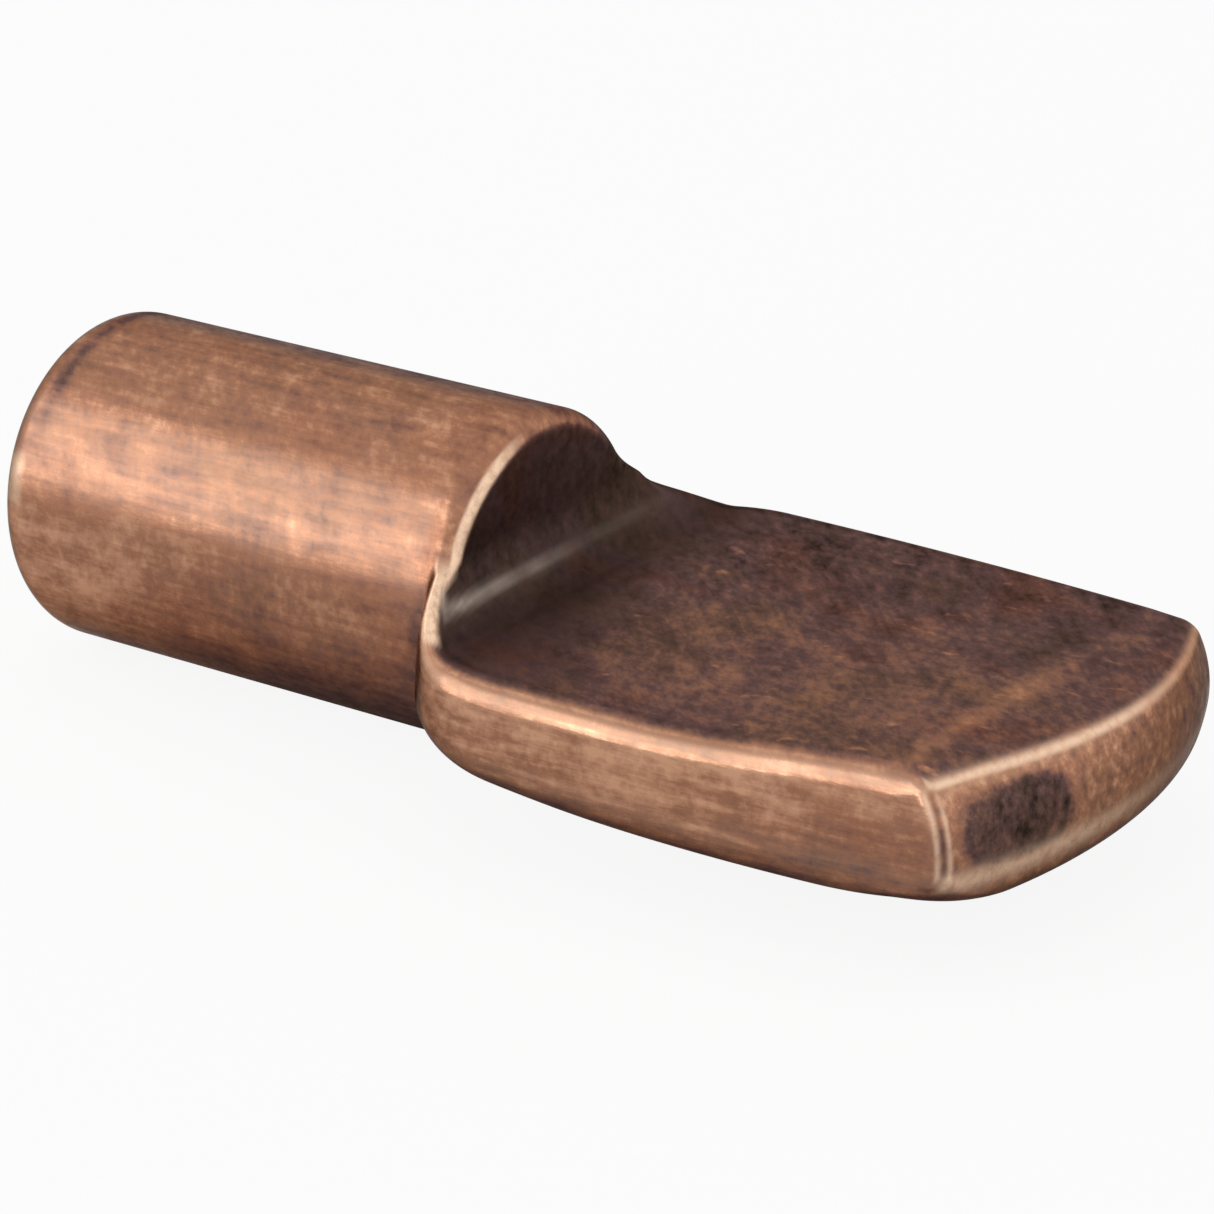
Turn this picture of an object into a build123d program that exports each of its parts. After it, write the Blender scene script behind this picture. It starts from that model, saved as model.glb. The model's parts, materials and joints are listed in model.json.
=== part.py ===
from build123d import *
import math
import os

# Shelf support pin of the spoon type: round wire with one end pressed into a flat paddle.
# X runs out of the panel along the pin, Z is up, and the origin is where the pin's axis meets the plane
# of the stop shoulders. Lengths are in millimetres.

# Pin
pin_diameter = 5.0
pin_length = 7.92  # stop shoulders to the free end
pin_end_round = 0.6

# Step from the pin down to the flat
flat_height = 0.22  # pin axis to the flat that carries the shelf
wall_setback = 0.3  # stop shoulders to the step wall
wall_root_round = 1.0  # hollow between wall and flat
wall_rim_round = 0.25

# Paddle from above, at its widest level
paddle_reach = 9.85  # stop shoulders to the tip
paddle_width = 8.2
widest_at = 2.55
side_bow_radius = 60.0
front_bow_radius = 9.5

# Stop shoulders, the metal squeezed out beside the pin
shoulder_corner_round = 2.0
shoulder_flare_round = 2.0  # hollow between pin side and shoulder top

# Paddle from the side
bulge_depth = 0.75  # pin axis to the widest level of the sides and the front
side_barrel_round = 6.0  # bulge of the sides between top and underside
front_barrel_round = 1.8
underside_depth = 1.62  # pin axis to the lowest line of the underside
deepest_at = 5.9
underside_bow_radius = 45.0
bevel_start = 8.15  # where the flat begins to fall towards the tip
bevel_drop = 0.08

# Belly, the round of the pin running out under the paddle
belly_run = 5.2
belly_tail_share = 0.15  # of belly_run, buried in the paddle

# Edges
side_lower_round = 0.7
front_edge_round = 0.25
top_edge_round = 0.16
overrun = 1.0  # how far cutting shapes pass the metal

pin_radius = pin_diameter / 2
half_width = paddle_width / 2
root_end = wall_setback + wall_root_round


def barrelled_disc(radius, barrel_round):
    """A disc about Z whose rim is an arc, widest at the bulge level."""
    hub = radius - barrel_round
    profile = Rectangle(hub, 2 * barrel_round, align=(Align.MIN, Align.CENTER))
    profile += Pos(hub) * Circle(barrel_round)
    profile &= Rectangle(radius, 2 * barrel_round, align=(Align.MIN, Align.CENTER))
    return revolve(Plane.XZ * Pos(0, -bulge_depth) * profile, Axis.Z)


def paddle_form():
    """The common volume of three large discs, two for the bowed sides and one for the front, with the
    shoulders cut square at the pin and rounded."""
    height = flat_height + underside_depth + overrun
    corner = (Align.MIN, Align.CENTER, Align.MAX)
    side_offset = side_bow_radius - half_width
    side = barrelled_disc(side_bow_radius, side_barrel_round)
    front = barrelled_disc(front_bow_radius, front_barrel_round)
    form = Pos(0, 0, flat_height) * Box(paddle_reach, paddle_width, height, align=corner)
    form &= Pos(widest_at, side_offset) * side
    form &= Pos(widest_at, -side_offset) * side
    form &= Pos(paddle_reach - front_bow_radius) * front
    rear_edges = form.faces().sort_by(Axis.X)[0].edges().sort_by(Axis.Y)
    return fillet([rear_edges[0], rear_edges[-1]], shoulder_corner_round)


def across(outline):
    """A side view drawn through the whole width of the paddle."""
    return extrude(Plane.XZ * outline, amount=paddle_width, both=True)


def press(start):
    """The tool above the paddle: a face that forms the flat and, towards the tip, the shallow bevel."""
    top = pin_radius + overrun
    end = paddle_reach + overrun
    fall = bevel_drop * (end - bevel_start) / (paddle_reach - bevel_start)
    corners = Polyline(
        (start, flat_height),
        (bevel_start, flat_height),
        (end, flat_height - fall),
        (end, top),
        (start, top),
        close=True,
    )
    return make_face(corners)


def rounded_press():
    """The same tool at the step wall, with the rounded nose that leaves the hollow."""
    outline = press(wall_setback)
    nose = outline.vertices().sort_by_distance((wall_setback, flat_height))[0]
    return across(fillet(nose, wall_root_round))


def paddle():
    """The paddle with its bowed underside, rounded underneath, round the front and along the top edge."""
    sole = across(Pos(deepest_at, underside_bow_radius - underside_depth) * Circle(underside_bow_radius))
    form = (paddle_form() & sole) - across(press(-overrun))
    front_edges = form.faces().sort_by(Axis.X)[-1].edges()
    lower_edges = [e for e in form.faces().sort_by(Axis.Z)[0].edges() if e not in front_edges]
    form = fillet(lower_edges, side_lower_round)
    front_edges = form.faces().sort_by(Axis.X)[-1].edges().sort_by(Axis.Z)
    form = fillet(front_edges[:-1], front_edge_round)
    flat, bevel = form.faces().sort_by(Axis.Z)[:-3:-1]
    flat_edges, bevel_edges = flat.edges(), bevel.edges()
    outer_edges = [e for e in flat_edges if e not in bevel_edges]
    outer_edges += [e for e in bevel_edges if e not in flat_edges]
    return fillet(outer_edges, top_edge_round)


def belly():
    """Lower half of an ogive that leaves the pin tangentially and sinks into the underside."""
    drop = pin_radius - underside_depth
    ogive_radius = (belly_run**2 + drop**2) / (2 * drop)
    tail = belly_run * (1 + belly_tail_share)
    tail_radius = pin_radius - ogive_radius + math.sqrt(ogive_radius**2 - tail**2)
    curve = RadiusArc((0, -pin_radius), (tail, -tail_radius), -ogive_radius)
    ends = Polyline((tail, -tail_radius), (tail, 0), (0, 0), (0, -pin_radius))
    return revolve(make_face([curve, ends]), Axis.X, 180)


def shoulder_outline():
    """The rear end of the flat from above, inside the rounded top edge."""
    bow = side_bow_radius - math.sqrt(side_bow_radius**2 - widest_at**2)
    barrel = side_barrel_round - math.sqrt(side_barrel_round**2 - (flat_height + bulge_depth) ** 2)
    half = half_width - bow - barrel - top_edge_round
    outline = Pos(top_edge_round) * Rectangle(paddle_reach, 2 * half, align=(Align.MIN, Align.CENTER))
    return fillet(outline.vertices().group_by(Axis.X)[0], shoulder_corner_round - top_edge_round)


def shoulder_wings():
    """The shoulder tops, each joined to the pin's side by a hollow tangent to both."""
    hollow_z = flat_height + shoulder_flare_round
    hollow_y = math.sqrt((pin_radius + shoulder_flare_round) ** 2 - hollow_z**2)
    on_pin = Vector(hollow_y, hollow_z) * (pin_radius / (pin_radius + shoulder_flare_round))
    on_shoulder = Vector(hollow_y, flat_height)
    hollow = RadiusArc(on_pin, on_shoulder, -shoulder_flare_round)
    inside = Polyline(on_shoulder, (hollow_y, 0), (0, 0), on_pin)
    wing = make_face([hollow, inside])
    wings = extrude(Plane.YZ * (wing + mirror(wing, Plane.YZ)), amount=root_end)
    return wings & extrude(shoulder_outline(), amount=pin_radius)


def step_root():
    """The hollow between the step wall and the flat, as wide as the pin."""
    core = extrude(Plane.YZ * Circle(pin_radius), amount=root_end)
    height = flat_height + wall_root_round
    return core & Box(root_end, pin_diameter, height, align=(Align.MIN, Align.CENTER, Align.MIN))


def pin():
    """The round pin, from its rounded free end to the rim of the step wall."""
    length = pin_length + wall_setback
    body = Pos(-pin_length) * extrude(Plane.YZ * Circle(pin_radius), amount=length)
    ends = body.edges().filter_by(GeomType.CIRCLE).sort_by(Axis.X)
    body = fillet(ends[0], pin_end_round)
    ends = body.edges().filter_by(GeomType.CIRCLE).sort_by(Axis.X)
    return fillet(ends[-1], wall_rim_round)


def shelf_pin():
    """All features in one piece of metal."""
    step = (shoulder_wings() + step_root()) - rounded_press()
    return paddle() + belly() + step + pin()


os.makedirs("parts", exist_ok=True)
export_step(shelf_pin(), "parts/shelf_pin.step")
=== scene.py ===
"""Shelf support pin in antique copper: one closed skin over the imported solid, its finish and its studio."""

from __future__ import annotations

import json
import logging
import math
from dataclasses import dataclass
from enum import Enum

import bpy
import numpy as np
from mathutils import Matrix, Vector

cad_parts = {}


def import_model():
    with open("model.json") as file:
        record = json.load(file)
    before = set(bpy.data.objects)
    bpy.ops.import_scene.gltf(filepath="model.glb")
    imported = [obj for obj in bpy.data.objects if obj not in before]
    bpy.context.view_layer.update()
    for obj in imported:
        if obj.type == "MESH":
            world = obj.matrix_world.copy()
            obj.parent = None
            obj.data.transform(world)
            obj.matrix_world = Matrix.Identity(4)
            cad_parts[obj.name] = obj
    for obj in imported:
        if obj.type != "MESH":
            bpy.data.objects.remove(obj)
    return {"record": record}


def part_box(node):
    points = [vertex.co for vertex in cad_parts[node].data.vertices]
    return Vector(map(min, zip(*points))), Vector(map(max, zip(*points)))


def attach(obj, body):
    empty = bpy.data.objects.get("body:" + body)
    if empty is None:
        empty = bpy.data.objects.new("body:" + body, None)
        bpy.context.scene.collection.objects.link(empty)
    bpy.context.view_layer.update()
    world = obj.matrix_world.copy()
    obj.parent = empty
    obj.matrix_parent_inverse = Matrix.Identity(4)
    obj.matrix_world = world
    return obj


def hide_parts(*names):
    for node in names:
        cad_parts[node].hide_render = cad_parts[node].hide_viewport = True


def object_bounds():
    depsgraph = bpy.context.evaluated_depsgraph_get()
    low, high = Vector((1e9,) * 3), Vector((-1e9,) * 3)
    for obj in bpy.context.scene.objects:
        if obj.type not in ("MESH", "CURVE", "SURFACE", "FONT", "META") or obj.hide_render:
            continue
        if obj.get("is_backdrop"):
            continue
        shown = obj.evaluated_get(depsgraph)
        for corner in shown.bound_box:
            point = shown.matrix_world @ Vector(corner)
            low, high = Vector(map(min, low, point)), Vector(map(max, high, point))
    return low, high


NODE = "shelf_pin"
BODY = "root"
MM = 0.001
X, Y, Z = 0, 1, 2
TINY = 1e-9

Colour = tuple[float, float, float]
Span = tuple[float, float]
Socket = bpy.types.NodeSocket
WHITE: Colour = (1.0, 1.0, 1.0)

log = logging.getLogger("shelf_pin_scene")


class Mask(Enum):
    """Names of the point attributes that the finish reads from the skin."""

    TONE = "tone"
    WEAR_AND_HIGHLIGHT = "wear_and_painted_highlight"
    PAINTED_ROOT_HIGHLIGHT = "root_painted_highlight"
    DRAWN = "drawn"
    GRIT = "grit"


def smooth(span: Span, value: np.ndarray) -> np.ndarray:
    """Cubic step over a span: 0 at its first end, 1 at its second, and 3t^2 - 2t^3 between.

    Args:
        span: where the step begins and ends. It falls where the first number is the larger.
        value: the array to judge.

    Returns:
        An array of values from 0 to 1.
    """
    low, high = span
    t = np.clip((value - low) / (high - low), 0.0, 1.0)
    return t * t * (3.0 - 2.0 * t)


def bell(value: np.ndarray, line: Span) -> np.ndarray:
    """A soft line: 1 at its middle, falling as exp(-d^2) with the distance d in widths from it.

    Args:
        value: the array to judge.
        line: the line's middle and its width.

    Returns:
        An array of values from 0 to 1.
    """
    middle, width = line
    return np.exp(-(((value - middle) / width) ** 2))


def mix(a: float | np.ndarray, b: float | np.ndarray, share: np.ndarray) -> np.ndarray:
    """The value that lies a share of the way from a to b."""
    return a + (b - a) * share


def both(a: np.ndarray, b: np.ndarray, radius: float | np.ndarray) -> np.ndarray:
    """Distance to the common part of two solids, with its convex edge rolled to a radius.

    Where both distances are above -radius the edge is a circle of that radius: the length of
    (a + radius, b + radius), less the radius. Elsewhere it is the larger of the two.

    Args:
        a: distance to the first solid.
        b: distance to the second solid.
        radius: radius of the rolled edge.

    Returns:
        The distance, negative inside.
    """
    corner = np.hypot(np.maximum(a + radius, 0.0), np.maximum(b + radius, 0.0))
    return np.minimum(np.maximum(a, b), -radius) + corner


def either(a: np.ndarray, b: np.ndarray, radius: float | np.ndarray) -> np.ndarray:
    """Distance to two solids joined, with the crease between them filled by a hollow of a radius.

    The mirror image of both(): the radius less the length of (radius - a, radius - b) near the crease.

    Args:
        a: distance to the first solid.
        b: distance to the second solid.
        radius: radius of the hollow.

    Returns:
        The distance, negative inside.
    """
    crease = np.hypot(np.maximum(radius - a, 0.0), np.maximum(radius - b, 0.0))
    return np.maximum(np.minimum(a, b), radius) - crease


@dataclass(frozen=True)
class SpoonForm:
    """The pressed pin as a distance field, in millimetres, from the frame's own sizes.

    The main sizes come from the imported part; the rest are the form's rounds and bows. Spans named far run
    across the part, towards the side away from the camera.
    """

    pin_radius: float
    pin_length: float
    reach: float
    half_width: float
    flat_height: float
    pin_end_round: float = 0.6
    wall_setback: float = 0.3
    root_round: float = 0.9
    far_root_round: float = 1.2
    far_root: Span = (2.4, 3.6)
    rim_round: float = 0.30
    widest_at: float = 2.55
    side_bow: float = 60.0
    front_bow: float = 9.5
    corner_round: float = 2.0
    flare_round: float = 2.4
    wing_edge_share: float = 0.8
    wing_start: float = 2.0
    wing_blend: float = 0.12
    far_wing_blend: float = 0.35
    far_wing: Span = (0.0, 1.0)
    bulge_depth: float = 0.75
    side_barrel: float = 6.0
    front_barrel: float = 1.8
    underside_depth: float = 1.70
    deepest_at: float = 6.8
    underside_bow: float = 45.0
    bevel_start: float = 8.15
    bevel_drop: float = 0.08
    front_zone: float = 0.8
    corner_lift: float = 0.22
    lift_along: Span = (4.5, 8.4)
    lift_across: Span = (2.5, -3.5)
    belly_run: float = 5.2
    belly_tail: float = 5.98
    belly_blend: float = 0.6
    blend_run: float = 1.2
    lower_round: float = 0.7
    front_lower_round: float = 0.4
    front_corner: float = 0.17
    sole_corner: float = 2.2
    corner_start: float = 0.85
    top_edge: float = 0.34
    far_top_edge: float = 0.18
    far_edge: Span = (-1.5, 1.5)
    front_top_edge: float = 0.15
    least_slope: float = 0.05
    longest_step: float = 0.5
    ring_points: int = 8
    guide_lean: float = 0.8

    @classmethod
    def from_frame(cls, record: dict) -> SpoonForm:
        """Takes the main sizes from the node's box and the record's mounts.

        Args:
            record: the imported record.

        Returns:
            The form in millimetres.
        """
        low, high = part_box(NODE)
        mounts = {m["name"]: m for m in record["mounts"]}
        return cls(
            pin_radius=mounts["pin"]["dims"]["r_mm"],
            pin_length=-low.x / MM,
            reach=high.x / MM,
            half_width=high.y / MM,
            flat_height=mounts["shelf_seat"]["pos_m"][Z] / MM,
        )

    def outline(self, x: np.ndarray, y: np.ndarray, z: np.ndarray) -> np.ndarray:
        """Distance to the paddle's upright walls: two bowed sides, the stop shoulders and the bowed front.

        Each bow is a large circle from above whose rim is itself an arc in height, widest at the bulge. The
        round between side and front grows with the square of the depth towards the sole.

        Args:
            x: along the pin.
            y: distance from the middle plane, not negative.
            z: height over the pin's axis.

        Returns:
            The distance, negative inside.
        """
        level = z + self.bulge_depth
        side = np.hypot(x - self.widest_at, y + self.side_bow - self.half_width) - self.side_bow
        side = np.hypot(np.maximum(side + self.side_barrel, 0.0), level) - self.side_barrel
        front = np.hypot(x - (self.reach - self.front_bow), y) - self.front_bow
        front = np.hypot(np.maximum(front + self.front_barrel, 0.0), level) - self.front_barrel
        sunk = np.clip((-self.corner_start - z) / (self.underside_depth - self.corner_start), 0.0, 1.0)
        corner = self.front_corner + (self.sole_corner - self.front_corner) * sunk**2
        return both(both(side, -x, self.corner_round), front, corner)

    def girth(self, x: np.ndarray, y: np.ndarray, z: np.ndarray) -> np.ndarray:
        """Distance to the pin's round, which narrows past the shoulders to the ogive of the belly.

        The ogive's radius is an arc that leaves the pin along its axis and reaches the underside's depth at
        the end of the belly's run.

        Args:
            x: along the pin.
            y: distance from the middle plane.
            z: height over the pin's axis.

        Returns:
            The distance, negative inside.
        """
        drop = self.pin_radius - self.underside_depth
        bow = (self.belly_run**2 + drop**2) / (2.0 * drop)
        run = np.clip(x, 0.0, self.belly_tail)
        return np.hypot(y, z) - (self.pin_radius - bow + np.sqrt(bow**2 - run**2))

    def top(self, x: np.ndarray, across: np.ndarray, z: np.ndarray) -> np.ndarray:
        """Distance to the flat, which falls in a bevel towards the tip and rises to the near front corner.

        Args:
            x: along the pin.
            across: place across the part, negative on the near side.
            z: height over the pin's axis.

        Returns:
            The distance, negative below.
        """
        flat = z - self.flat_height
        slope = self.bevel_drop / (self.reach - self.bevel_start)
        lift = self.corner_lift * smooth(self.lift_along, x) * smooth(self.lift_across, across)
        return np.maximum(flat, flat + slope * (x - self.bevel_start)) - lift

    def sole(self, x: np.ndarray, z: np.ndarray) -> np.ndarray:
        """Distance to the bowed underside, an arc that is lowest at its deepest place."""
        centre = z - self.underside_bow + self.underside_depth
        return np.hypot(x - self.deepest_at, centre) - self.underside_bow

    def distance(self, points: np.ndarray) -> np.ndarray:
        """Distance to the metal: paddle, belly, step and pin joined.

        The paddle is the outline cut by the top and by the sole. The belly is an ogive under it. Above the
        flat stand the pin's round and, inside the outline, the wings that join the pin's side to the flat by
        a hollow. The press with its rounded nose cuts both, and leaves one rolled rim.

        Args:
            points: array of points, last axis x, y, z.

        Returns:
            The distance of each point, negative inside.
        """
        x, across, z = points[..., X], points[..., Y], points[..., Z]
        y = np.abs(across)
        outline, girth, sole = self.outline(x, y, z), self.girth(x, y, z), self.sole(x, z)
        ahead = smooth((self.bevel_start, self.reach - self.front_zone), x)
        edge = mix(self.top_edge, self.far_top_edge, smooth(self.far_edge, across))
        edge = mix(edge, self.front_top_edge, ahead)
        lower = mix(self.lower_round, self.front_lower_round, ahead)
        paddle = both(both(outline, self.top(x, across, z), edge), sole, lower)
        belly = np.maximum.reduce([girth, z + self.bulge_depth, -x, x - self.belly_tail])
        body = either(paddle, belly, self.belly_blend * smooth((0.0, self.blend_run), x))
        root = mix(self.root_round, self.far_root_round, smooth(self.far_root, across))
        press = both(self.wall_setback - x, self.flat_height - z, root)
        shaft = both(girth, -x - self.pin_length, self.pin_end_round)
        shaft = np.maximum(shaft, x - self.wall_setback - self.root_round)
        flare = either(girth, z - self.flat_height, self.flare_round)
        height = np.maximum(girth - flare, 0.0)
        wings = both(flare, outline, np.minimum(edge, self.wing_edge_share * height))
        fill = mix(self.wing_blend, self.far_wing_blend, smooth(self.far_wing, across))
        wings = both(np.maximum(wings, fill - self.wing_start * height), sole, lower)
        raised = both(either(shaft, wings, fill), -press, np.maximum(self.rim_round, edge))
        return np.minimum(body, raised)

    def gradient(self, points: np.ndarray, reach: float = 0.004) -> np.ndarray:
        """Slope of the distance by central differences.

        Args:
            points: array of points.
            reach: half the difference's span.

        Returns:
            The gradient at each point.
        """
        steps = np.eye(3) * reach
        parts = [self.distance(points + s) - self.distance(points - s) for s in steps]
        return np.stack(parts, axis=-1) / (2.0 * reach)

    def settle(self, points: np.ndarray, rounds: int) -> np.ndarray:
        """Moves points onto the surface along the slope, a step of distance over slope at a time.

        Args:
            points: array of points near the surface.
            rounds: number of steps.

        Returns:
            The moved points.
        """
        for _ in range(rounds):
            slope = self.gradient(points)
            squared = np.maximum((slope**2).sum(-1), self.least_slope)
            step = np.clip(self.distance(points) / squared, -self.longest_step, self.longest_step)
            points = points - step[..., None] * slope
        return points

    def normals(self, points: np.ndarray) -> np.ndarray:
        """Unit outward directions at points on the surface."""
        slope = self.gradient(points)
        return slope / np.maximum(np.linalg.norm(slope, axis=-1, keepdims=True), TINY)

    def bend(self, points: np.ndarray, span: float) -> np.ndarray:
        """How sharply the surface turns: the mean distance of a ring in the tangent plane over its radius.

        Args:
            points: points on the surface.
            span: radius of the ring of points.

        Returns:
            The bend, positive on an edge and negative in a hollow.
        """
        n = self.normals(points)
        guide = np.where(np.abs(n[..., :1]) < self.guide_lean, [1.0, 0.0, 0.0], [0.0, 1.0, 0.0])
        first = np.cross(n, guide)
        first /= np.linalg.norm(first, axis=-1, keepdims=True)
        second = np.cross(n, first)
        turns = np.linspace(0.0, 2.0 * np.pi, self.ring_points, endpoint=False)
        ring = [self.distance(points + span * (np.cos(a) * first + np.sin(a) * second)) for a in turns]
        return np.mean(ring, axis=0) / span


@dataclass(frozen=True)
class SkinGrid:
    """A closed grid over the form: rings along the pin, spokes round it, and a pole at each end."""

    form: SpoonForm
    rings: int = 187
    spokes: int = 128
    rear_share: float = 0.09
    front_share: float = 0.08
    pressed_run: Span = (-0.2, 1.4)
    belly_start: float = 0.4
    side_margin: float = 0.25
    pressed_power: float = 0.5
    easing: float = 0.6
    first_rounds: int = 14
    coarse_rounds: int = 160
    fine_rounds: int = 16
    last_rounds: int = 3
    edge_pull: float = 7.0
    pull_every: int = 8
    bend_reach: float = 0.2
    least_bend: float = 0.03
    most_bend: float = 0.4

    def tube(self) -> np.ndarray:
        """First guess of the skin: a superellipse carried along the pin's axis.

        The ring at share t lies at x between the ends. Its half width, top and underside step from the pin's
        round to the paddle's flat, its power rises from 2 to 4, and it shrinks to a point over both end
        shares.

        Returns:
            Points of shape rings + 2, spokes, 3.
        """
        f = self.form
        t = np.linspace(0.0, 1.0, self.rings + 2)[:, None]
        turn = np.linspace(0.0, 2.0 * np.pi, self.spokes, endpoint=False)[None, :]
        span = 1.0 - self.rear_share - self.front_share
        x = -f.pin_length + (f.pin_length + f.reach) * np.clip((t - self.rear_share) / span, 0.0, 1.0)
        shrink = np.clip(t / self.rear_share, 0.0, 1.0) * np.clip((1.0 - t) / self.front_share, 0.0, 1.0)
        pressed = smooth(self.pressed_run, x)
        width = mix(f.pin_radius, f.half_width - self.side_margin, pressed)
        top = mix(f.pin_radius, f.flat_height, pressed)
        under = mix(-f.pin_radius, -f.underside_depth, smooth((self.belly_start, f.belly_run), x))
        power = 1.0 - self.pressed_power * pressed
        across, upward = np.cos(turn), np.sin(turn)
        y = width * shrink * np.sign(across) * np.abs(across) ** power
        z = (top + under) / 2.0 + (top - under) / 2.0 * shrink * np.sign(upward) * np.abs(upward) ** power
        return np.stack([x + 0.0 * y, y, z], axis=-1)

    def weights(self, skin: np.ndarray) -> np.ndarray:
        """How strongly each point draws its neighbours: 1 on plain faces, more where the form bends.

        Args:
            skin: points with the poles in the first and last row.

        Returns:
            The weights, with a last axis of one.
        """
        bent = np.abs(self.form.bend(skin[1:-1], self.bend_reach))
        weight = np.ones(skin.shape[:2])
        weight[1:-1] += self.edge_pull * np.clip(bent - self.least_bend, 0.0, self.most_bend)
        return weight[..., None]

    @staticmethod
    def neighbours(skin: np.ndarray) -> list[np.ndarray]:
        """The values ahead, behind and on both sides of each inner point of a grid."""
        inner = skin[1:-1]
        return [skin[2:], skin[:-2], np.roll(inner, 1, axis=1), np.roll(inner, -1, axis=1)]

    def relax(self, skin: np.ndarray, rounds: int) -> np.ndarray:
        """Evens the grid out: each point moves towards the weighted mean of its four neighbours, then back
        to the surface.

        Args:
            skin: points with the poles in the first and last row.
            rounds: number of passes.

        Returns:
            The evened grid.
        """
        for number in range(rounds):
            if number % self.pull_every == 0:
                pulls = self.neighbours(self.weights(skin))
            inner = skin[1:-1]
            mean = sum(w * p for w, p in zip(pulls, self.neighbours(skin))) / sum(pulls)
            skin[1:-1] = self.form.settle(inner + self.easing * (mean - inner), 1)
        return skin

    def points(self) -> np.ndarray:
        """Settles and evens a coarse grid, halves its mesh, and does the same once more.

        Returns:
            Points of the fine grid, with the poles in the first and last row.
        """
        skin = self.tube()
        skin[0] = (-self.form.pin_length, 0.0, 0.0)
        skin[-1] = (self.form.reach, 0.0, -self.form.bulge_depth)
        skin[1:-1] = self.form.settle(skin[1:-1], self.first_rounds)
        skin = self.relax(skin, self.coarse_rounds)
        between = (skin + np.roll(skin, -1, axis=1)) / 2.0
        wide = np.stack([skin, between], axis=2).reshape(skin.shape[0], -1, 3)
        fine = np.empty((2 * wide.shape[0] - 1, wide.shape[1], 3))
        fine[::2] = wide
        fine[1::2] = (wide[1:] + wide[:-1]) / 2.0
        fine[1:-1] = self.form.settle(fine[1:-1], self.last_rounds)
        fine = self.relax(fine, self.fine_rounds)
        fine[1:-1] = self.form.settle(fine[1:-1], self.last_rounds)
        return fine

    @staticmethod
    def faces(rows: int, spokes: int) -> tuple[np.ndarray, np.ndarray]:
        """Corner numbers of the grid's quads and of the two fans at the poles.

        Args:
            rows: number of rings without the poles.
            spokes: number of points in a ring.

        Returns:
            The quads and the triangles, as arrays of vertex numbers.
        """
        here = np.arange(rows * spokes).reshape(rows, spokes)
        after = np.roll(here, -1, axis=1)
        quads = np.stack([here[:-1], after[:-1], after[1:], here[1:]], axis=-1).reshape(-1, 4)
        rear, front = rows * spokes, rows * spokes + 1
        first = np.stack([np.full(spokes, rear), after[0], here[0]], axis=-1)
        last = np.stack([np.full(spokes, front), here[-1], after[-1]], axis=-1)
        return quads, np.concatenate([first, last])


@dataclass(frozen=True)
class Noise:
    """One layer of noise: waves in a millimetre along each axis, number and weight of the finer layers, and
    the degrees by which its axes are turned about Z."""

    per_mm: tuple[float, float, float]
    detail: float
    rough: float
    turn: float = 0.0


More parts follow.
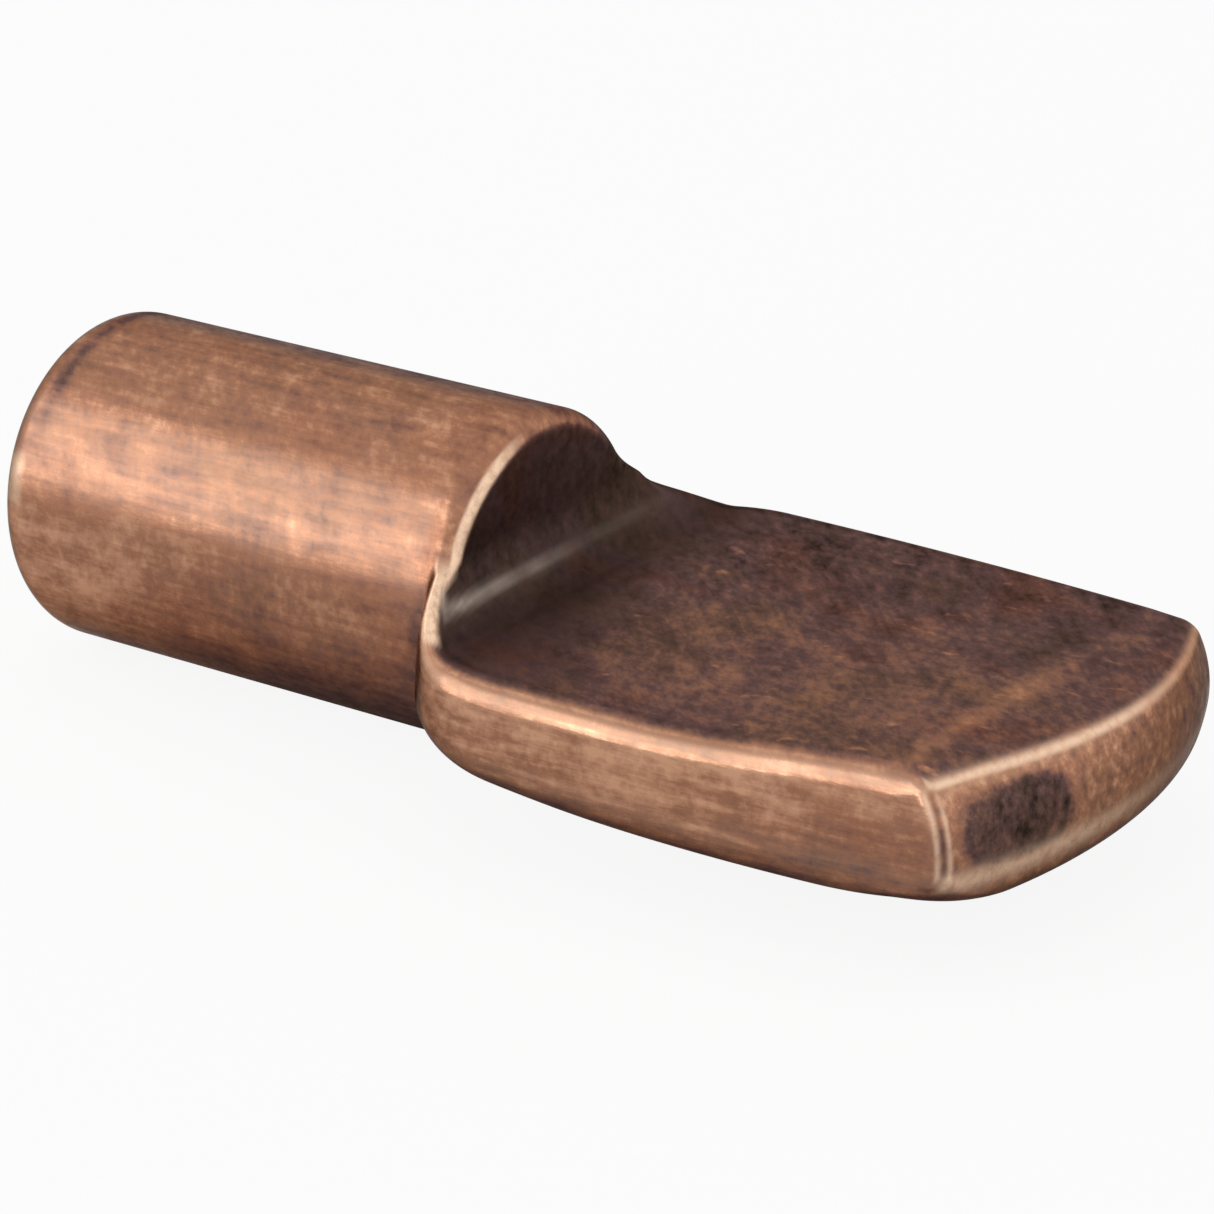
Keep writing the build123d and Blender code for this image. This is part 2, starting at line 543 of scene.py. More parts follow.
class FinishGraph:
    """A material's nodes, with the few joins that the finish needs."""

    def __init__(self, name: str) -> None:
        """Starts a material.

        Args:
            name: the material's name.
        """
        self.material = bpy.data.materials.new(name)
        self.material.use_nodes = True
        self.nodes = self.material.node_tree.nodes
        self.links = self.material.node_tree.links
        self.shader = self.nodes["Principled BSDF"]
        self.place = self.nodes.new("ShaderNodeTexCoord").outputs["Object"]

    def mask(self, mask: Mask) -> Socket:
        """The value of a point attribute of the skin."""
        node = self.nodes.new("ShaderNodeAttribute")
        node.attribute_name = mask.value
        return node.outputs["Fac"]

    def noise(self, layer: Noise) -> Socket:
        """Noise over the object's own coordinates.

        Args:
            layer: the layer to make.

        Returns:
            The noise's value.
        """
        mapping = self.nodes.new("ShaderNodeMapping")
        mapping.vector_type = "TEXTURE"
        mapping.inputs["Rotation"].default_value = (0.0, 0.0, math.radians(layer.turn))
        mapping.inputs["Scale"].default_value = [MM / s for s in layer.per_mm]
        self.links.new(self.place, mapping.inputs["Vector"])
        texture = self.nodes.new("ShaderNodeTexNoise")
        texture.inputs["Scale"].default_value = 1.0
        texture.inputs["Detail"].default_value = layer.detail
        texture.inputs["Roughness"].default_value = layer.rough
        self.links.new(mapping.outputs["Vector"], texture.inputs["Vector"])
        return texture.outputs["Fac"]

    def spread(self, value: Socket, start: Span, end: Span) -> Socket:
        """Maps a value that runs over one range to another, clamped.

        Args:
            value: the value to map.
            start: its own range.
            end: the range it gets.

        Returns:
            The mapped value.
        """
        node = self.nodes.new("ShaderNodeMapRange")
        for socket, number in zip(("From Min", "From Max", "To Min", "To Max"), (*start, *end)):
            node.inputs[socket].default_value = number
        self.links.new(value, node.inputs["Value"])
        return node.outputs["Result"]

    def join(self, operation: str, a: Socket, b: Socket) -> Socket:
        """Joins two values by a sum, product or other plain operation.

        Args:
            operation: name of the operation.
            a: first value.
            b: second value.

        Returns:
            The result.
        """
        node = self.nodes.new("ShaderNodeMath")
        node.operation = operation
        self.links.new(a, node.inputs[0])
        self.links.new(b, node.inputs[1])
        return node.outputs[0]

    def ramp(self, value: Socket, stops: tuple[tuple[float, Colour], ...]) -> Socket:
        """A colour that changes with a value.

        Args:
            value: the value.
            stops: places of the value and their colours, in order.

        Returns:
            The colour.
        """
        node = self.nodes.new("ShaderNodeValToRGB")
        elements = node.color_ramp.elements
        for element, (place, colour) in zip(elements, (stops[0], stops[-1])):
            element.position, element.color = place, (*colour, 1.0)
        for place, colour in stops[1:-1]:
            elements.new(place).color = (*colour, 1.0)
        self.links.new(value, node.inputs["Fac"])
        return node.outputs["Color"]

    def blend(
        self,
        share: Socket,
        below: Socket,
        above: Socket | Colour,
        mode: str = "MIX",
    ) -> Socket:
        """Lays one colour over another. The mix node keeps its colour sockets at places 6, 7 and 2.

        Args:
            share: how much of the upper colour shows.
            below: the lower colour.
            above: the upper colour, from a node or the same all over.
            mode: how they mix.

        Returns:
            The mixed colour.
        """
        node = self.nodes.new("ShaderNodeMix")
        node.data_type, node.blend_type = "RGBA", mode
        factor, lower, upper = node.inputs[0], node.inputs[6], node.inputs[7]
        self.links.new(share, factor)
        self.links.new(below, lower)
        if isinstance(above, tuple):
            upper.default_value = (*above, 1.0)
        else:
            self.links.new(above, upper)
        return node.outputs[2]


@dataclass(frozen=True)
class AntiqueCopper:
    """Copper plate darkened with patina and bare bright where it is handled, with painted shade and painted
    highlights laid into its colour.

    Colours are linear. Tone runs from 0, clean copper, to 1, the dark brown of the recesses. Each noise has
    the range of its values that counts and the share of the tone that it moves.
    """

    name: str = "antique_copper_finish"
    # colour of bare metal and of the painted highlights on the rim and along the pin
    worn_and_highlight: Colour = (0.92, 0.64, 0.45)
    clean: Colour = (0.68, 0.365, 0.225)
    copper: Colour = (0.385, 0.180, 0.106)
    brown: Colour = (0.150, 0.079, 0.065)
    dark: Colour = (0.030, 0.019, 0.015)
    # colour of the painted highlight in the step's root
    painted_root_highlight: Colour = (0.46, 0.375, 0.315)
    red: Colour = (1.06, 0.92, 0.88)
    violet: Colour = (0.98, 1.02, 1.16)
    olive: Colour = (0.98, 1.01, 0.96)
    edge_tint: Colour = (0.46, 0.45, 0.44)
    tone_stops: tuple[float, ...] = (0.0, 0.28, 0.64, 1.0)
    tint_stops: tuple[float, ...] = (0.36, 0.5, 0.62)
    mottle: Noise = Noise((2.0, 0.95, 1.4), 6.0, 0.64, 42.0)
    mottle_range: Span = (0.28, 0.72)
    mottle_share: float = 0.28
    streak: Noise = Noise((0.7, 5.5, 5.5), 5.0, 0.62)
    streak_range: Span = (0.3, 0.7)
    streak_share: float = 0.26
    grain: Noise = Noise((8.0, 4.2, 6.5), 3.0, 0.6, 42.0)
    grain_range: Span = (0.3, 0.7)
    grain_share: float = 0.18
    fleck: Noise = Noise((2.4, 3.4, 3.4), 2.0, 0.5)
    fleck_range: Span = (0.66, 0.76)
    fleck_share: float = 0.22
    cloud: Noise = Noise((0.42, 0.6, 0.6), 3.0, 0.55)
    pressed_range: Span = (0.3, 0.9)
    tint_range: Span = (0.3, 0.7)
    tint_share: Span = (0.2, 1.0)
    painted_highlight_range: Span = (0.3, 0.6)
    painted_highlight_share: Span = (0.4, 1.0)
    rubbed_and_highlight_range: Span = (0.25, 0.55)
    rubbed_and_highlight_share: Span = (0.45, 1.0)
    gloss_range: Span = (0.10, 0.72)
    roughness: Span = (0.14, 0.50)
    bump_strength: float = 0.22
    bump_height: float = 0.02

    def build(self) -> bpy.types.Material:
        """Makes the material: the tone mask plus mottle, streak and grain noise drive colour and gloss.

        Returns:
            The material.
        """
        graph = FinishGraph(self.name)
        links, shader = graph.links, graph.shader
        mottle = graph.noise(self.mottle)
        streak = graph.noise(self.streak)
        grain = graph.noise(self.grain)
        fleck = graph.noise(self.fleck)
        cloud = graph.noise(self.cloud)
        moved = (self.mottle_share, self.streak_share, self.grain_share)
        mottled, drawn_out, grained = ((-share / 2.0, share / 2.0) for share in moved)
        drawn = graph.spread(streak, self.streak_range, drawn_out)
        flecks = graph.spread(fleck, self.fleck_range, (0.0, -self.fleck_share))
        pressed = graph.spread(graph.mask(Mask.DRAWN), self.pressed_range, (1.0, 0.0))
        layers = (
            graph.spread(mottle, self.mottle_range, mottled),
            graph.spread(grain, self.grain_range, grained),
            graph.join("MULTIPLY", flecks, pressed),
        )
        grit = graph.join("MULTIPLY", drawn, graph.mask(Mask.DRAWN))
        for layer in layers:
            grit = graph.join("ADD", grit, layer)
        grit = graph.join("MULTIPLY", grit, graph.mask(Mask.GRIT))
        level = graph.join("ADD", graph.mask(Mask.TONE), grit)
        tones = (self.clean, self.copper, self.brown, self.dark)
        # colour from the tone: patina, and painted shade on the undersides and the pin's top outline
        patina = graph.ramp(level, tuple(zip(self.tone_stops, tones)))
        tints = (self.red, self.violet, self.olive)
        tint = graph.ramp(cloud, tuple(zip(self.tint_stops, tints)))
        tinted = graph.spread(level, self.tint_range, self.tint_share)
        colour = graph.blend(tinted, patina, tint, "MULTIPLY")
        # the painted highlight in the step's root, broken up by the mottle
        broken = graph.spread(mottle, self.painted_highlight_range, self.painted_highlight_share)
        colour = graph.blend(graph.join("MULTIPLY", graph.mask(Mask.PAINTED_ROOT_HIGHLIGHT), broken), colour, self.painted_root_highlight)
        # bare metal and painted highlights, broken up by the grain
        rubbed_and_highlight = graph.spread(grain, self.rubbed_and_highlight_range, self.rubbed_and_highlight_share)
        colour = graph.blend(graph.join("MULTIPLY", graph.mask(Mask.WEAR_AND_HIGHLIGHT), rubbed_and_highlight), colour, self.worn_and_highlight)
        links.new(colour, shader.inputs["Base Color"])
        links.new(graph.spread(level, self.gloss_range, self.roughness), shader.inputs["Roughness"])
        shader.inputs["Metallic"].default_value = 1.0
        shader.inputs["Specular Tint"].default_value = (*self.edge_tint, 1.0)
        bump = graph.nodes.new("ShaderNodeBump")
        bump.inputs["Strength"].default_value = self.bump_strength
        bump.inputs["Distance"].default_value = self.bump_height * MM
        links.new(level, bump.inputs["Height"])
        links.new(bump.outputs["Normal"], shader.inputs["Normal"])
        return graph.material


class At(Enum):
    """What is measured at each point of the skin.

    X, Y and Z are its place in millimetres. AHEAD and UP are the parts of its outward direction along X and
    Z, TILT is UP without its sign, INLINE is the part in the middle plane, and FRONT is the part along X of
    the level direction. TURN, RISE, CORNER and ROOT are in degrees: round the pin from the near side up,
    from level to up, from sideways to ahead, and from up to ahead. BEND is positive on an edge. SHELTER is
    how much nearer the metal lies than the open air along the outward direction.
    """

    X = "x"
    Y = "y"
    Z = "z"
    AHEAD = "ahead"
    UP = "up"
    TILT = "tilt"
    INLINE = "inline"
    FRONT = "front"
    TURN = "turn"
    RISE = "rise"
    CORNER = "corner"
    ROOT = "root"
    BEND = "bend"
    SHELTER = "shelter"


@dataclass(frozen=True)
class Step:
    """A smooth step over a measure, from 0 at the first number to 1 at the second."""

    at: At
    first: float
    second: float

    def share(self, values: np.ndarray) -> np.ndarray:
        """The step's height at each value."""
        return smooth((self.first, self.second), values)


@dataclass(frozen=True)
class Line(Step):
    """A soft line over a measure: the first number is its middle, the second its width."""

    def share(self, values: np.ndarray) -> np.ndarray:
        """The line's strength at each value."""
        return bell(values, (self.first, self.second))


Zone = tuple[Step, ...]
Layers = tuple[tuple[float, Zone], ...]


@dataclass(frozen=True)
class Mark:
    """A tone that covers a share of what lies below it, inside a zone."""

    tone: float
    zone: Zone
    share: float = 1.0


@dataclass(frozen=True)
class SkinSample:
    """The measures of every point of the skin."""

    values: dict[At, np.ndarray]

    @classmethod
    def take(
        cls,
        form: SpoonForm,
        points: np.ndarray,
        span: float = 0.2,
        heights: tuple[float, ...] = (0.5, 1.1, 1.8),
    ) -> SkinSample:
        """Measures the form at points on its surface.

        Args:
            form: the form, in millimetres.
            points: points on the surface.
            span: radius of the ring of points that bend is measured on.
            heights: how far out the shelter is measured.

        Returns:
            The measures, one row for each point.
        """
        n = form.normals(points)
        ahead, across, up = n.T
        air = [form.distance(points + h * n) / h for h in heights]
        values = {
            At.X: points[:, X],
            At.Y: points[:, Y],
            At.Z: points[:, Z],
            At.AHEAD: ahead,
            At.UP: up,
            At.TILT: np.abs(up),
            At.INLINE: np.hypot(ahead, up),
            At.FRONT: ahead / np.maximum(np.hypot(ahead, across), TINY),
            At.TURN: np.degrees(np.arctan2(up, -across)),
            At.RISE: np.degrees(np.arcsin(np.clip(up, -1.0, 1.0))),
            At.CORNER: np.degrees(np.arctan2(ahead, np.abs(across))),
            At.ROOT: np.degrees(np.arctan2(ahead, up)),
            At.BEND: form.bend(points, span),
            At.SHELTER: 1.0 - np.mean(air, axis=0),
        }
        return cls(values)

    def share(self, zone: Zone) -> np.ndarray:
        """How far each point belongs to a zone: the product of the zone's steps and lines.

        Args:
            zone: the zone.

        Returns:
            An array of values from 0 to 1.
        """
        share = np.ones(len(self.values[At.X]))
        for part in zone:
            share = share * part.share(self.values[part.at])
        return share

    def total(self, layers: Layers) -> np.ndarray:
        """The sum of all layers, each as far as its zone reaches."""
        return sum(amount * self.share(zone) for amount, zone in layers)


@dataclass(frozen=True)
class PatinaAndPaintedLight:
    """How dark each face of the form is, from 0, clean copper, to 1, the dark of the recesses; patina, and
    painted shade on the undersides and the pin's top outline.

    A face has a tone of its own and layers that are added to it in zones. First come the zones that more
    than one mask uses.
    """

    paddle: Zone = (Step(At.X, 0.2, 0.9),)
    top: Zone = (Step(At.UP, 0.80, 0.97),)
    ahead: Zone = (Step(At.FRONT, 0.45, 0.65), Step(At.X, 7.5, 8.5))
    rolled: Zone = (Step(At.BEND, 0.03, 0.10), Step(At.X, 0.1, 0.4))
    upright: Zone = (Step(At.X, 8.0, 8.6), Step(At.TILT, 0.6, 0.3), Step(At.Z, -1.05, -0.85))
    # where the key light's highlight runs along the pin
    key_highlight_band: Zone = (Step(At.TURN, 8.0, 20.0), Step(At.TURN, 48.0, 40.0), Step(At.X, 0.0, -0.3))
    rear: Zone = (Step(At.UP, 0.9, 0.98), Step(At.X, 2.6, 0.9), Step(At.X, 0.2, 0.4))
    hollow: Zone = (
        Step(At.AHEAD, 0.04, 0.3),
        Step(At.X, 0.27, 0.31),
        Step(At.X, 1.8, 1.2),
        Step(At.Z, 0.2, 0.23),
    )

    # The pin: darker over its far top, a painted shade along its top outline; darker underneath, a painted
    # shade growing towards the paddle; a little darker where the key light's highlight runs; lighter low down
    # towards its free end
    pin: float = 0.31
    pin_layers: Layers = (
        (0.34, (Step(At.TURN, 90.0, 108.0), Step(At.TURN, 178.0, 120.0))),
        (0.087, (Step(At.UP, 0.0, -0.9),)),
        (0.348, (Step(At.UP, 0.0, -0.9), Step(At.X, -7.0, -0.5))),
        (0.07, key_highlight_band),
        (-0.20, (Step(At.X, -3.5, -6.5), Step(At.UP, 0.35, -0.1))),
    )

    # The sides: darker below the middle, near the sole and towards the front
    side: float = 0.02
    side_layers: Layers = (
        (0.13, (Step(At.Z, 0.1, -0.45),)),
        (0.14, (Step(At.Z, -0.5, -1.1),)),
        (0.16, (Step(At.X, 5.0, 8.5),)),
    )

    # The flat: lighter away from the step and darker at the far side, then the bevel and its light crest
    flat: float = 0.66
    flat_layers: Layers = ((-0.08, (Step(At.X, 0.8, 5.0),)), (0.15, (Step(At.Y, -0.5, 3.0),)))
    bevel: float = 0.64
    bevel_zone: Zone = (Step(At.X, 8.0, 8.3),)
    crest: Layers = ((-0.27, (Line(At.X, 8.22, 0.19), Step(At.Y, 3.0, -1.0))),)

    # the paddle's underside: darker, a painted shade
    under: float = 0.60
    under_zone: Zone = (Step(At.UP, -0.35, -0.75), *paddle)

    # The front: darker at the far side, with a blotch of a middle, half sizes and a soft rim
    front: float = 0.32
    front_zone: Zone = (Step(At.AHEAD, 0.6, 0.9), Step(At.X, 7.5, 8.5))
    front_layers: Layers = ((0.10, (Step(At.Y, 0.5, 3.0),)),)
    blotch: float = 0.40
    blotch_y: Span = (-2.45, 1.0)
    blotch_z: Span = (-0.40, 0.52)
    blotch_power: int = 3
    blotch_rim: Span = (1.25, 0.55)

    # Laid over all faces: the pin's end, the rolled top edge, then the recesses round the step
    recess: float = 0.90
    marks: tuple[Mark, ...] = (
        Mark(0.12, (Step(At.AHEAD, -0.5, -0.95), Step(At.X, -6.5, -7.4))),
        Mark(0.32, (*rolled, Step(At.RISE, 12.0, 25.0), Step(At.RISE, 62.0, 50.0), Step(At.X, 8.9, 8.4))),
        Mark(recess, hollow),
        Mark(recess, rear, 0.6),
        Mark(
            recess,
            (Step(At.Y, 1.3, 1.9), Step(At.AHEAD, 0.1, 0.4), Step(At.X, 0.5, 0.3), Step(At.Z, 0.2, 0.3)),
        ),
        Mark(recess, (Step(At.SHELTER, 0.05, 0.45),), 0.5),
    )

    # Dark lines: beside the rolled edge of the flat, down the front corners and round the pin's end
    border: float = 0.10
    border_bend: float = 0.12
    border_zone: Zone = (Step(At.UP, 0.9, 0.99), *paddle, Step(At.X, 8.4, 7.9))
    lines: Layers = (
        (0.25, (Line(At.CORNER, 37.0, 6.0), *upright)),
        (0.3, (Line(At.X, -7.25, 0.14), Step(At.Z, 0.9, 2.0))),
    )

    # Bare metal on edges: the sides, the front, most on the near side, and the lip of the step; the step's
    # rim is bare metal with a painted highlight, on the near side
    side_rub: Layers = ((0.26, (Line(At.RISE, 36.0, 18.0),)),)
    front_rub: Layers = (
        (0.18, (Line(At.RISE, 52.0, 14.0),)),
        (0.72, (Line(At.RISE, 52.0, 14.0), Step(At.Y, 2.5, -0.5))),
    )
    step: Zone = (Step(At.X, 1.4, 1.0), Step(At.Z, 0.24, 0.3))
    # bare metal with a painted highlight where the rim's rounding catches the light, on the near side only
    rim: Zone = (
        Step(At.AHEAD, 0.68, 0.80),
        Step(At.AHEAD, 0.995, 0.96),
        Step(At.Y, -0.3, -1.2),
        Step(At.BEND, 0.03, 0.08),
    )
    lip: Zone = (Step(At.BEND, 0.05, 0.14), Step(At.Z, 1.1, 0.8), Step(At.Y, 1.0, -1.0))

    # Bare metal elsewhere: down the front corners and low round the paddle; along the pin where the key
    # light's highlight runs, a painted highlight
    low: Zone = (Line(At.Z, -0.98, 0.16), Step(At.X, 0.4, 1.2), Step(At.UP, -0.75, -0.55))
    rubbed_and_highlight: Layers = (
        (0.62, (Line(At.CORNER, 25.0, 6.0), *upright)),
        (0.62, (Line(At.CORNER, 50.0, 6.0), *upright)),
        (0.08, low),
        (0.165, (*low, *ahead)),
        (0.495, (*low, *ahead, Step(At.Y, 2.0, -1.5))),
        (0.13, key_highlight_band),
    )

    # The painted highlight streak in the step's root, most on the near side, and the waves that break it up
    root: Zone = (
        Line(At.ROOT, 45.0, 6.0),
        Step(At.INLINE, 0.8, 0.95),
        Step(At.X, 1.6, 1.1),
        Step(At.X, 0.28, 0.36),
        Step(At.Z, 1.2, 0.9),
    )
    streak: Layers = ((0.12, root), (0.88, (*root, Step(At.Y, 1.2, -2.8))))
    breaks: float = 0.25
    waves: tuple[float, float, float] = (5.2, 1.1, 2.3)

    # How strongly the drawn marks and all noise show
    drawn_layers: Layers = (
        (0.6, (Step(At.X, -0.2, 0.6),)),
        (-1.35, (Step(At.X, -0.2, 0.6), Step(At.UP, 0.4, 0.8))),
    )
    gritty: Layers = ((0.3, (*top, Step(At.X, 1.0, 3.0))),)
    clear: float = 0.65

    def flat_tone(self, s: SkinSample) -> np.ndarray:
        """Tone of the flat with its bevel and crest."""
        tone = mix(self.flat + s.total(self.flat_layers), self.bevel, s.share(self.bevel_zone))
        return tone + s.total(self.crest)

    def front_tone(self, s: SkinSample) -> np.ndarray:
        """Tone of the front with its blotch.

        The blotch is a superellipse: the sum of powers of the distances from its middle in half sizes.

        Args:
            s: the skin's measures.

        Returns:
            The tone at each point.
        """
        (mid_y, half_y), (mid_z, half_z) = self.blotch_y, self.blotch_z
        oval = np.abs((s.values[At.Y] - mid_y) / half_y) ** self.blotch_power
        oval = oval + np.abs((s.values[At.Z] - mid_z) / half_z) ** self.blotch_power
        return self.front + s.total(self.front_layers) + self.blotch * smooth(self.blotch_rim, oval)

    def tone(self, s: SkinSample) -> np.ndarray:
        """Depth of patina, with painted shade on the undersides and along the pin's top outline: the pin's,
        then each face's own laid over it, then the marks and lines.

        Args:
            s: the skin's measures.

        Returns:
            The tone at each point.
        """
        tone = self.pin + s.total(self.pin_layers)
        tone = mix(tone, self.side + s.total(self.side_layers), s.share(self.paddle))
        tone = mix(tone, self.flat_tone(s), s.share(self.top + self.paddle))
        tone = mix(tone, self.under, s.share(self.under_zone))
        tone = mix(tone, self.front_tone(s), s.share(self.front_zone))
        for mark in self.marks:
            tone = mix(tone, mark.tone, mark.share * s.share(mark.zone))
        turned = np.clip(s.values[At.BEND] / self.border_bend, 0.0, 1.0)
        border = 4.0 * turned * (1.0 - turned) * s.share(self.border_zone)
        return tone + self.border * border + s.total(self.lines)

    def wear_and_highlight(self, s: SkinSample) -> np.ndarray:
        """Bare bright metal on rolled edges, the step's rim, the front corners and low on the front, with
        painted highlights on the step's rim and along the pin where the key light falls.

        Args:
            s: the skin's measures.

        Returns:
            The share of bare metal and painted highlight at each point.
        """
        edge = mix(s.total(self.side_rub), s.total(self.front_rub), s.share(self.ahead))
        rim = np.maximum(s.share(self.rim), s.share(self.lip))
        edge = mix(s.share(self.rolled) * edge, rim, s.share(self.step))
        return np.clip(edge + s.total(self.rubbed_and_highlight), 0.0, 1.0)

    def painted_root_highlight(self, s: SkinSample) -> np.ndarray:
        """The painted highlight along the hollow root of the step, broken up by two sine waves across it.

        Args:
            s: the skin's measures.

        Returns:
            The streak's strength at each point.
        """
        y = s.values[At.Y]
        quick, shift, slow = self.waves
        broken = 1.0 - self.breaks + self.breaks * np.sin(quick * y + shift) * np.sin(slow * y)
        return s.total(self.streak) * broken

    def drawn(self, s: SkinSample) -> np.ndarray:
        """How much the lengthwise marks of the drawn wire show: most on the sides, little on the flat."""
        return 1.0 + s.total(self.drawn_layers)

    def grit(self, s: SkinSample) -> np.ndarray:
        """How much all noise shows: more on the flat, and less in the hollow and behind it."""
        clear = self.clear * np.maximum(s.share(self.hollow), s.share(self.rear))
        return 1.0 + s.total(self.gritty) - clear

    def masks(self, s: SkinSample) -> dict[Mask, np.ndarray]:
        """One array for each mask that the finish reads."""
        return {
            Mask.TONE: self.tone(s),
            Mask.WEAR_AND_HIGHLIGHT: self.wear_and_highlight(s),
            Mask.PAINTED_ROOT_HIGHLIGHT: self.painted_root_highlight(s),
            Mask.DRAWN: self.drawn(s),
            Mask.GRIT: self.grit(s),
        }


@dataclass
class ShelfPin:
    """The one piece of the object: its skin, its tone masks and its finish."""

    form: SpoonForm
    patina: PatinaAndPaintedLight
    finish: AntiqueCopper
    name: str = "shelf_pin_skin"

    @staticmethod
    def volume(points: np.ndarray, quads: np.ndarray, fans: np.ndarray) -> float:
        """Volume inside a closed mesh: a sixth of the sum of its triangles' triple products.

        Args:
            points: the mesh's points.
            quads: corner numbers of its quads.
            fans: corner numbers of its triangles.

        Returns:
            The volume, positive where the faces look outwards.
        """
        triangles = np.concatenate([quads[:, [0, 1, 2]], quads[:, [0, 2, 3]], fans])
        a, b, c = points[triangles].transpose(1, 0, 2)
        return float(np.einsum("ij,ij->i", a, np.cross(b, c)).sum()) / 6.0

    def build(self) -> bpy.types.Object:
        """Makes the mesh from the grid, writes the masks and dresses it.

        Returns:
            The piece, riding on the pin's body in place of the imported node.
        """
        grid = SkinGrid(self.form).points()
        rows, spokes = grid.shape[0] - 2, grid.shape[1]
        points = np.concatenate([grid[1:-1].reshape(-1, 3), grid[:1, 0], grid[-1:, 0]])
        quads, fans = SkinGrid.faces(rows, spokes)
        volume = self.volume(points, quads, fans)
        if volume < 0.0:
            quads, fans = quads[:, ::-1], fans[:, ::-1]
        mesh = bpy.data.meshes.new(self.name)
        mesh.from_pydata((points * MM).tolist(), [], quads.tolist() + fans.tolist())
        mesh.polygons.foreach_set("use_smooth", np.ones(len(mesh.polygons), dtype=bool))
        for mask, values in self.patina.masks(SkinSample.take(self.form, points)).items():
            layer = mesh.attributes.new(mask.value, "FLOAT", "POINT")
            layer.data.foreach_set("value", values.astype(np.float32))
        mesh.update()
        mesh.normals_split_custom_set_from_vertices(self.form.normals(points).tolist())
        piece = bpy.data.objects.new(self.name, mesh)
        bpy.context.scene.collection.objects.link(piece)
        piece.data.materials.append(self.finish.build())
        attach(piece, BODY)
        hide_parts(NODE)
        log.info("%s: %d points, volume %.1f cubic mm", self.name, len(points), abs(volume))
        return piece


@dataclass(frozen=True)
class Softbox:
    """A soft area light that points at the object from a direction, with sizes in metres."""

    name: str
    direction: tuple[float, float, float]
    distance: float
    width: float
    height: float
    radiance: float

    def build(self, target: Vector) -> bpy.types.Object:
        """Makes the light with the power that gives its radiance over its area.

        Args:
            target: the point it faces.

        Returns:
            The light object.
        """
        data = bpy.data.lights.new(self.name, "AREA")
        data.shape = "RECTANGLE"
        data.size, data.size_y = self.width, self.height
        data.energy = self.radiance * math.pi * self.width * self.height
        lamp = bpy.data.objects.new(self.name, data)
        bpy.context.scene.collection.objects.link(lamp)
        toward = Vector(self.direction).normalized()
        lamp.location = target + toward * self.distance
        lamp.rotation_euler = toward.to_track_quat("Z", "Y").to_euler()
        log.info("%s in place", self.name)
        return lamp


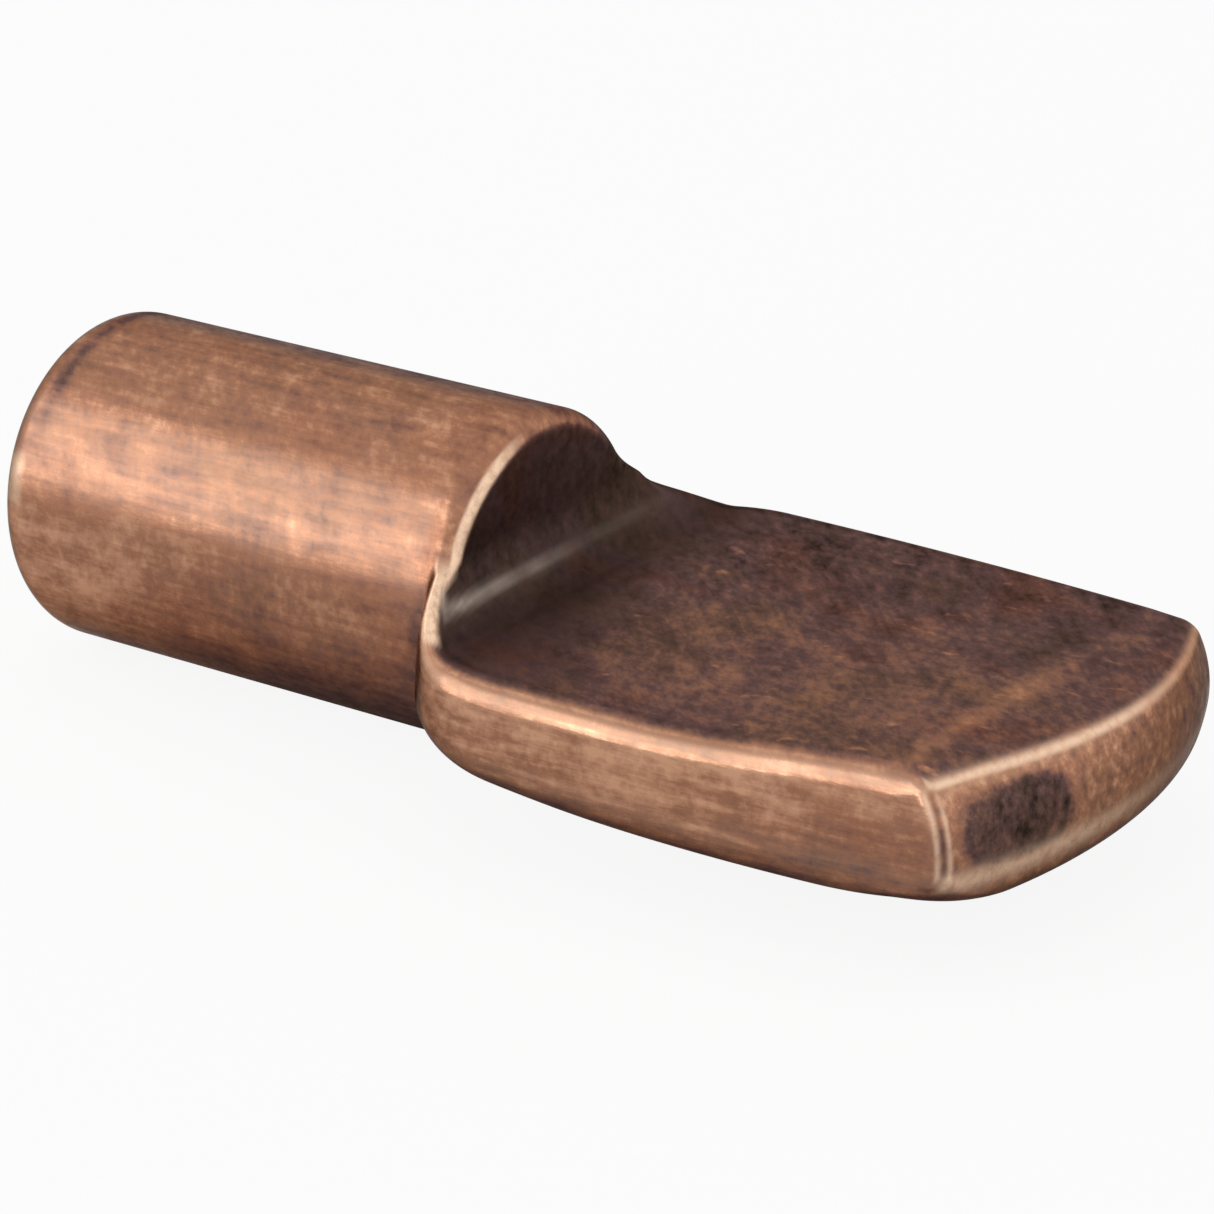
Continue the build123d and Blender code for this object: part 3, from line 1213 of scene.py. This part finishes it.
@dataclass(frozen=True)
class Studio:
    """A pale floor, soft light all round and the camera at the photograph's angle.

    The camera's numbers come from a fit to the outline, in a square frame: turn and height over the
    horizon, roll, distance to the aim in millimetres, and the lens on a 36 mm sensor.
    """

    aim: tuple[float, float, float] = (1.405, 0.0, -0.1375)
    azimuth: float = 33.619
    elevation: float = 21.973
    roll: float = 0.611
    distance: float = 63.2625
    lens: float = 132.19
    sensor: float = 36.0
    clip: Span = (0.001, 50.0)
    floor_size: float = 4.0
    floor_lines: int = 9
    floor_colour: Colour = (0.92, 0.92, 0.92)
    floor_roughness: float = 0.9
    floor_white: float = 0.9
    world_light: float = 0.6
    boxes: tuple[Softbox, ...] = (
        Softbox("key_softbox", (-0.51, -0.66, 0.545), 0.30, 0.50, 0.166, 1.0),
        Softbox("low_softbox", (-0.51, -0.827, 0.214), 0.30, 0.50, 0.105, 1.2),
    )

    def camera(self) -> bpy.types.Object:
        """Makes the camera from its angles: back is the way from the aim to the lens.

        Returns:
            The camera object, set as the scene's own.
        """
        a, e, r = (math.radians(v) for v in (self.azimuth, self.elevation, self.roll))
        back = Vector((math.sin(a) * math.cos(e), -math.cos(a) * math.cos(e), math.sin(e)))
        right = Vector((math.cos(a), math.sin(a), 0.0))
        up = back.cross(right)
        turned_right = right * math.cos(r) + up * math.sin(r)
        turned_up = up * math.cos(r) - right * math.sin(r)
        data = bpy.data.cameras.new("camera")
        data.lens, data.sensor_width = self.lens, self.sensor
        data.clip_start, data.clip_end = self.clip
        camera = bpy.data.objects.new("camera", data)
        bpy.context.scene.collection.objects.link(camera)
        place = (Vector(self.aim) + back * self.distance) * MM
        turn = Matrix((turned_right, turned_up, back)).transposed().to_4x4()
        camera.matrix_world = Matrix.Translation(place) @ turn
        bpy.context.scene.camera = camera
        return camera

    def floor_finish(self) -> bpy.types.Material:
        """Makes the floor's material: pale and matt, and mostly plain white to the camera.

        Returns:
            The material.
        """
        material = bpy.data.materials.new("pale_floor")
        material.use_nodes = True
        nodes, links = material.node_tree.nodes, material.node_tree.links
        shade = nodes["Principled BSDF"]
        shade.inputs["Base Color"].default_value = (*self.floor_colour, 1.0)
        shade.inputs["Roughness"].default_value = self.floor_roughness
        glow = nodes.new("ShaderNodeEmission")
        glow.inputs["Color"].default_value = (*WHITE, 1.0)
        path = nodes.new("ShaderNodeLightPath")
        seen = nodes.new("ShaderNodeMath")
        seen.operation = "MULTIPLY"
        seen.inputs[1].default_value = self.floor_white
        links.new(path.outputs["Is Camera Ray"], seen.inputs[0])
        joined = nodes.new("ShaderNodeMixShader")
        links.new(seen.outputs[0], joined.inputs["Fac"])
        links.new(shade.outputs["BSDF"], joined.inputs[1])
        links.new(glow.outputs["Emission"], joined.inputs[2])
        links.new(joined.outputs["Shader"], nodes["Material Output"].inputs["Surface"])
        return material

    def floor(self, height: float) -> bpy.types.Object:
        """Makes the floor: a grid plane under the object, white to the eye with a soft shadow.

        Args:
            height: level of the floor in metres.

        Returns:
            The floor object.
        """
        half, lines = self.floor_size / 2.0, self.floor_lines
        side = np.linspace(-half, half, lines)
        x, y = np.meshgrid(side, side, indexing="ij")
        points = np.stack([x, y, np.full_like(x, height)], axis=-1).reshape(-1, 3)
        number = np.arange(lines * lines).reshape(lines, lines)
        quads = np.stack([number[:-1, :-1], number[1:, :-1], number[1:, 1:], number[:-1, 1:]], axis=-1)
        mesh = bpy.data.meshes.new("floor")
        mesh.from_pydata(points.tolist(), [], quads.reshape(-1, 4).tolist())
        mesh.materials.append(self.floor_finish())
        floor = bpy.data.objects.new("floor", mesh)
        bpy.context.scene.collection.objects.link(floor)
        floor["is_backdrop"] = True
        return floor

    def world(self) -> bpy.types.World:
        """Makes the world: white to the camera and in reflections, a little dimmer as light.

        Returns:
            The world, set as the scene's own.
        """
        world = bpy.data.worlds.new("studio")
        world.use_nodes = True
        nodes, links = world.node_tree.nodes, world.node_tree.links
        ground = nodes["Background"]
        ground.inputs["Color"].default_value = (*WHITE, 1.0)
        ground.inputs["Strength"].default_value = self.world_light
        seen = nodes.new("ShaderNodeBackground")
        seen.inputs["Color"].default_value = (*WHITE, 1.0)
        path = nodes.new("ShaderNodeLightPath")
        shown = nodes.new("ShaderNodeMath")
        shown.operation = "MAXIMUM"
        links.new(path.outputs["Is Camera Ray"], shown.inputs[0])
        links.new(path.outputs["Is Glossy Ray"], shown.inputs[1])
        joined = nodes.new("ShaderNodeMixShader")
        links.new(shown.outputs[0], joined.inputs["Fac"])
        links.new(ground.outputs["Background"], joined.inputs[1])
        links.new(seen.outputs["Background"], joined.inputs[2])
        links.new(joined.outputs["Shader"], nodes["World Output"].inputs["Surface"])
        bpy.context.scene.world = world
        return world

    def build(self, low: Vector) -> None:
        """Sets the whole studio round the object.

        Args:
            low: the object's lowest corner in metres.
        """
        bpy.context.scene.view_settings.view_transform = "Standard"
        self.camera()
        self.floor(low.z)
        self.world()
        for box in self.boxes:
            box.build(Vector(self.aim) * MM)


def main() -> None:
    logging.basicConfig(level=logging.INFO, format="%(name)s: %(message)s")
    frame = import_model()
    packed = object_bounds()
    form = SpoonForm.from_frame(frame["record"])
    ShelfPin(form, PatinaAndPaintedLight(), AntiqueCopper()).build()
    Studio().build(packed[0])


if __name__ == "__main__":
    main()
